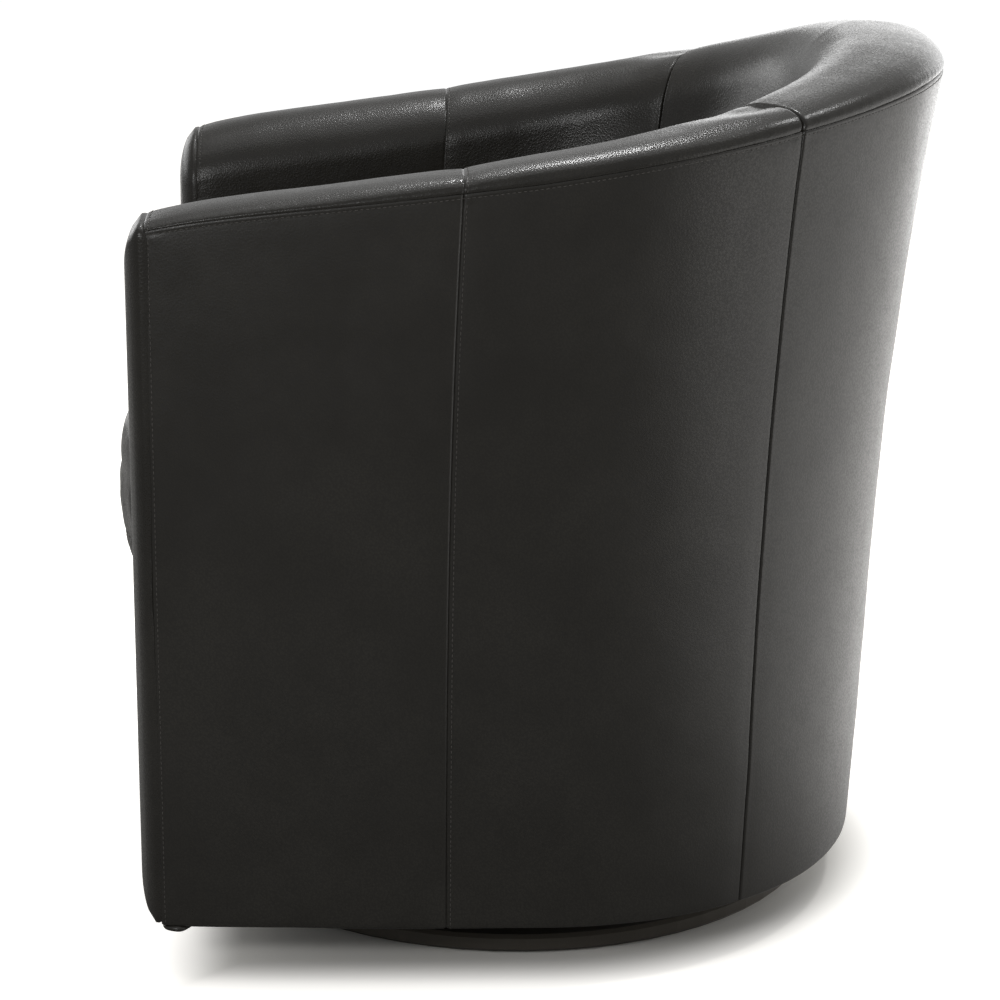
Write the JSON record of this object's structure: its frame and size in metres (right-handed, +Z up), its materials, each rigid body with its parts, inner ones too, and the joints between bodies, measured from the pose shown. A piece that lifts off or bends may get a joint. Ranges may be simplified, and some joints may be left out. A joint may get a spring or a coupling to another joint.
{
  "type": "swivel club chair",
  "caption": "Upholstered tub armchair with a wrap-around back, padded roll and crowned seat on a round swivel base.",
  "frame": {"origin": "on the floor, on the swivel axis, under the middle of the chair", "axes": "+Z up along the swivel axis, the sitter faces -Y, +X is the sitter's left"},
  "size_m": [0.68, 0.727, 0.7623],
  "materials": {
    "charcoal_leather": "pebbled, semi-gloss, near-black brown",
    "black_base_board": "black paint, satin",
    "black_nylon": "moulded, matt",
    "pressed_steel": "zinc plated",
    "zinc_fasteners": "bright zinc",
    "birch_plywood": "raw, sanded",
    "poplar_frame": "raw, planed",
    "brown_fibreboard": "raw",
    "grey_felt": "needled felt",
    "seat_foam": "open-cell foam",
    "black_dust_cloth": "non-woven"
  },
  "bodies": {
    "base": {"base_disc": "black_base_board", "base_glide_1": "black_nylon", "base_glide_2": "black_nylon", "base_glide_3": "black_nylon", "base_glide_4": "black_nylon", "lower_swivel_plate": "pressed_steel", "lower_plate_screw_1": "zinc_fasteners", "lower_plate_screw_2": "zinc_fasteners", "lower_plate_screw_3": "zinc_fasteners", "lower_plate_screw_4": "zinc_fasteners", "swivel_pin": "zinc_fasteners"},
    "ball_ring": {"ball_cage_ring": "pressed_steel"},
    "tub": {"upper_swivel_plate": "pressed_steel", "upper_plate_screw_1": "zinc_fasteners", "upper_plate_screw_2": "zinc_fasteners", "upper_plate_screw_3": "zinc_fasteners", "upper_plate_screw_4": "zinc_fasteners", "bottom_board": "birch_plywood", "front_post_left": "poplar_frame", "front_post_right": "poplar_frame", "middle_post_left": "poplar_frame", "middle_post_right": "poplar_frame", "rear_post_left": "poplar_frame", "rear_post_right": "poplar_frame", "back_centre_post": "poplar_frame", "arm_top_rail_left": "poplar_frame", "arm_top_rail_right": "poplar_frame", "back_top_rail": "poplar_frame", "seat_front_rail": "poplar_frame", "seat_side_rail_left": "poplar_frame", "seat_side_rail_right": "poplar_frame", "seat_back_rail": "poplar_frame", "spring_clip_strip_front": "pressed_steel", "spring_clip_strip_back": "pressed_steel", "seat_spring_1": "pressed_steel", "seat_spring_2": "pressed_steel", "seat_spring_3": "pressed_steel", "seat_spring_4": "pressed_steel", "seat_spring_5": "pressed_steel", "seat_deck_pad": "grey_felt", "seat_cushion_foam": "seat_foam", "seat_cushion_cover": "charcoal_leather", "arm_padding_left": "seat_foam", "arm_padding_right": "seat_foam", "back_padding": "seat_foam", "outer_backing_board": "brown_fibreboard", "outer_arm_panel_left": "charcoal_leather", "outer_arm_panel_right": "charcoal_leather", "outer_side_panel_left": "charcoal_leather", "outer_side_panel_right": "charcoal_leather", "outer_back_panel": "charcoal_leather", "inner_arm_panel_left": "charcoal_leather", "inner_arm_panel_right": "charcoal_leather", "inner_side_panel_left": "charcoal_leather", "inner_side_panel_right": "charcoal_leather", "inner_back_panel": "charcoal_leather", "arm_front_facing_left": "charcoal_leather", "arm_front_facing_right": "charcoal_leather", "front_rail_cover": "charcoal_leather", "dust_cover": "black_dust_cloth"}
  },
  "joints": [
    {"name": "swivel", "type": "hinge", "parent": "base", "child": "tub", "pos_m": [0, 0, 0.035], "axis": [0, 0, 1], "continuous": true},
    {"name": "ball_ring_turn", "type": "hinge", "parent": "base", "child": "ball_ring", "pos_m": [0, 0, 0.035], "axis": [0, 0, 1], "continuous": true}
  ],
  "couplings": [
    {"joint": "ball_ring_turn", "follows": "swivel", "ratio": 0.5}
  ]
}
